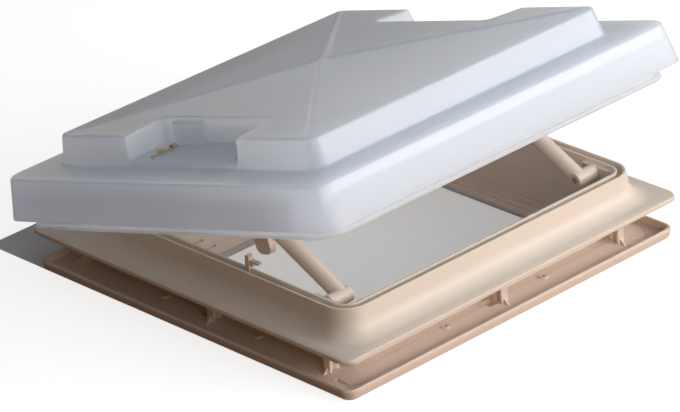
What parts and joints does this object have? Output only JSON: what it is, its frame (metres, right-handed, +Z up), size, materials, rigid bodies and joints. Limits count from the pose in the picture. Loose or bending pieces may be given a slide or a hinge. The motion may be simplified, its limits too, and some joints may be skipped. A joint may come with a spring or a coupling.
{
  "type": "roof hatch",
  "caption": "Square caravan roof hatch with a tilting double-shell opal lid on telescopic stays, a beige roof frame with flange and upstand, and a ceiling trim with fly net.",
  "frame": {"origin": "centre of the 400 mm roof opening on the roof's outer surface", "axes": "+X along the lid hinge, +Y towards the hinge side, +Z up and out of the roof"},
  "size_m": [0.532, 0.5186, 0.262],
  "materials": {
    "beige_frame": "moulded ABS, fine satin grain",
    "beige_trim": "moulded ABS, fine satin grain",
    "beige_clip": "moulded nylon",
    "beige_stay": "moulded nylon, satin",
    "opal_outer": "opal white acrylic, glossy outside",
    "opal_inner": "opal white acrylic, satin",
    "seal_rubber": "soft grey rubber",
    "net": "woven fly net",
    "screen_plastic": "moulded ABS",
    "zinc_steel": "zinc plated",
    "brass": "yellow passivated"
  },
  "bodies": {
    "root": {"roof_frame": "beige_frame", "ceiling_trim": "beige_trim", "clamp_claws": "beige_clip", "clamp_screws": "zinc_steel", "screen_frame": "screen_plastic", "fly_net": "net", "foot_rivets": "beige_clip", "hinge_pin_left": "zinc_steel", "catch_left": "beige_clip", "stay_foot_left": "beige_clip", "foot_pin_left": "zinc_steel", "hinge_pin_right": "zinc_steel", "catch_right": "beige_clip", "stay_foot_right": "beige_clip", "foot_pin_right": "zinc_steel"},
    "lid": {"outer_dome": "opal_outer", "inner_dome": "opal_inner", "lid_seal": "seal_rubber", "recess_clips": "brass", "recess_bolts": "zinc_steel", "bolt_sleeves": "beige_clip", "bolt_nuts": "zinc_steel", "leaf_screws": "zinc_steel", "latch_screws": "zinc_steel", "hinge_leaf_left": "beige_clip", "stay_bracket_left": "beige_clip", "latch_mount_left": "beige_clip", "latch_pin_left": "zinc_steel", "hinge_leaf_right": "beige_clip", "stay_bracket_right": "beige_clip", "latch_mount_right": "beige_clip", "latch_pin_right": "zinc_steel"},
    "stay_left": {"stay_tube_left": "beige_stay", "stay_bush_left": "beige_clip", "stay_lock_left": "beige_stay"},
    "rod_left": {"stay_rod_left": "beige_stay", "stay_pin_left": "zinc_steel"},
    "latch_left": {"latch_handle_left": "beige_stay"},
    "stay_right": {"stay_tube_right": "beige_stay", "stay_bush_right": "beige_clip", "stay_lock_right": "beige_stay"},
    "rod_right": {"stay_rod_right": "beige_stay", "stay_pin_right": "zinc_steel"},
    "latch_right": {"latch_handle_right": "beige_stay"}
  },
  "joints": [
    {"name": "lid_hinge", "type": "hinge", "parent": "root", "child": "lid", "pos_m": [0, 0.236, 0.0288], "axis": [-1, 0, 0], "range_deg": [-15.6, 0]},
    {"name": "stay_tilt_left", "type": "hinge", "parent": "root", "child": "stay_left", "pos_m": [-0.176, -0.169, 0.0271], "axis": [1, 0, 0], "range_deg": [-22.47, 0]},
    {"name": "stay_slide_left", "type": "slide", "parent": "stay_left", "child": "rod_left", "axis": [0, 0.8946, 0.4469], "range_m": [-0.03029, 0]},
    {"name": "latch_turn_left", "type": "hinge", "parent": "lid", "child": "latch_left", "pos_m": [-0.194, -0.06951, 0.10593], "axis": [-1, 0, 0], "range_deg": [0, 38]},
    {"name": "stay_tilt_right", "type": "hinge", "parent": "root", "child": "stay_right", "pos_m": [0.176, -0.169, 0.0271], "axis": [1, 0, 0], "range_deg": [-22.47, 0]},
    {"name": "stay_slide_right", "type": "slide", "parent": "stay_right", "child": "rod_right", "axis": [0, 0.8946, 0.4469], "range_m": [-0.03029, 0]},
    {"name": "latch_turn_right", "type": "hinge", "parent": "lid", "child": "latch_right", "pos_m": [0.194, -0.06951, 0.10593], "axis": [-1, 0, 0], "range_deg": [0, 38]}
  ],
  "couplings": [
    {"joint": "stay_tilt_left", "follows": "lid_hinge", "ratio": 1.4393},
    {"joint": "stay_slide_left", "follows": "lid_hinge", "m_per_rad": 0.11108},
    {"joint": "stay_tilt_right", "follows": "lid_hinge", "ratio": 1.4393},
    {"joint": "stay_slide_right", "follows": "lid_hinge", "m_per_rad": 0.11108}
  ]
}
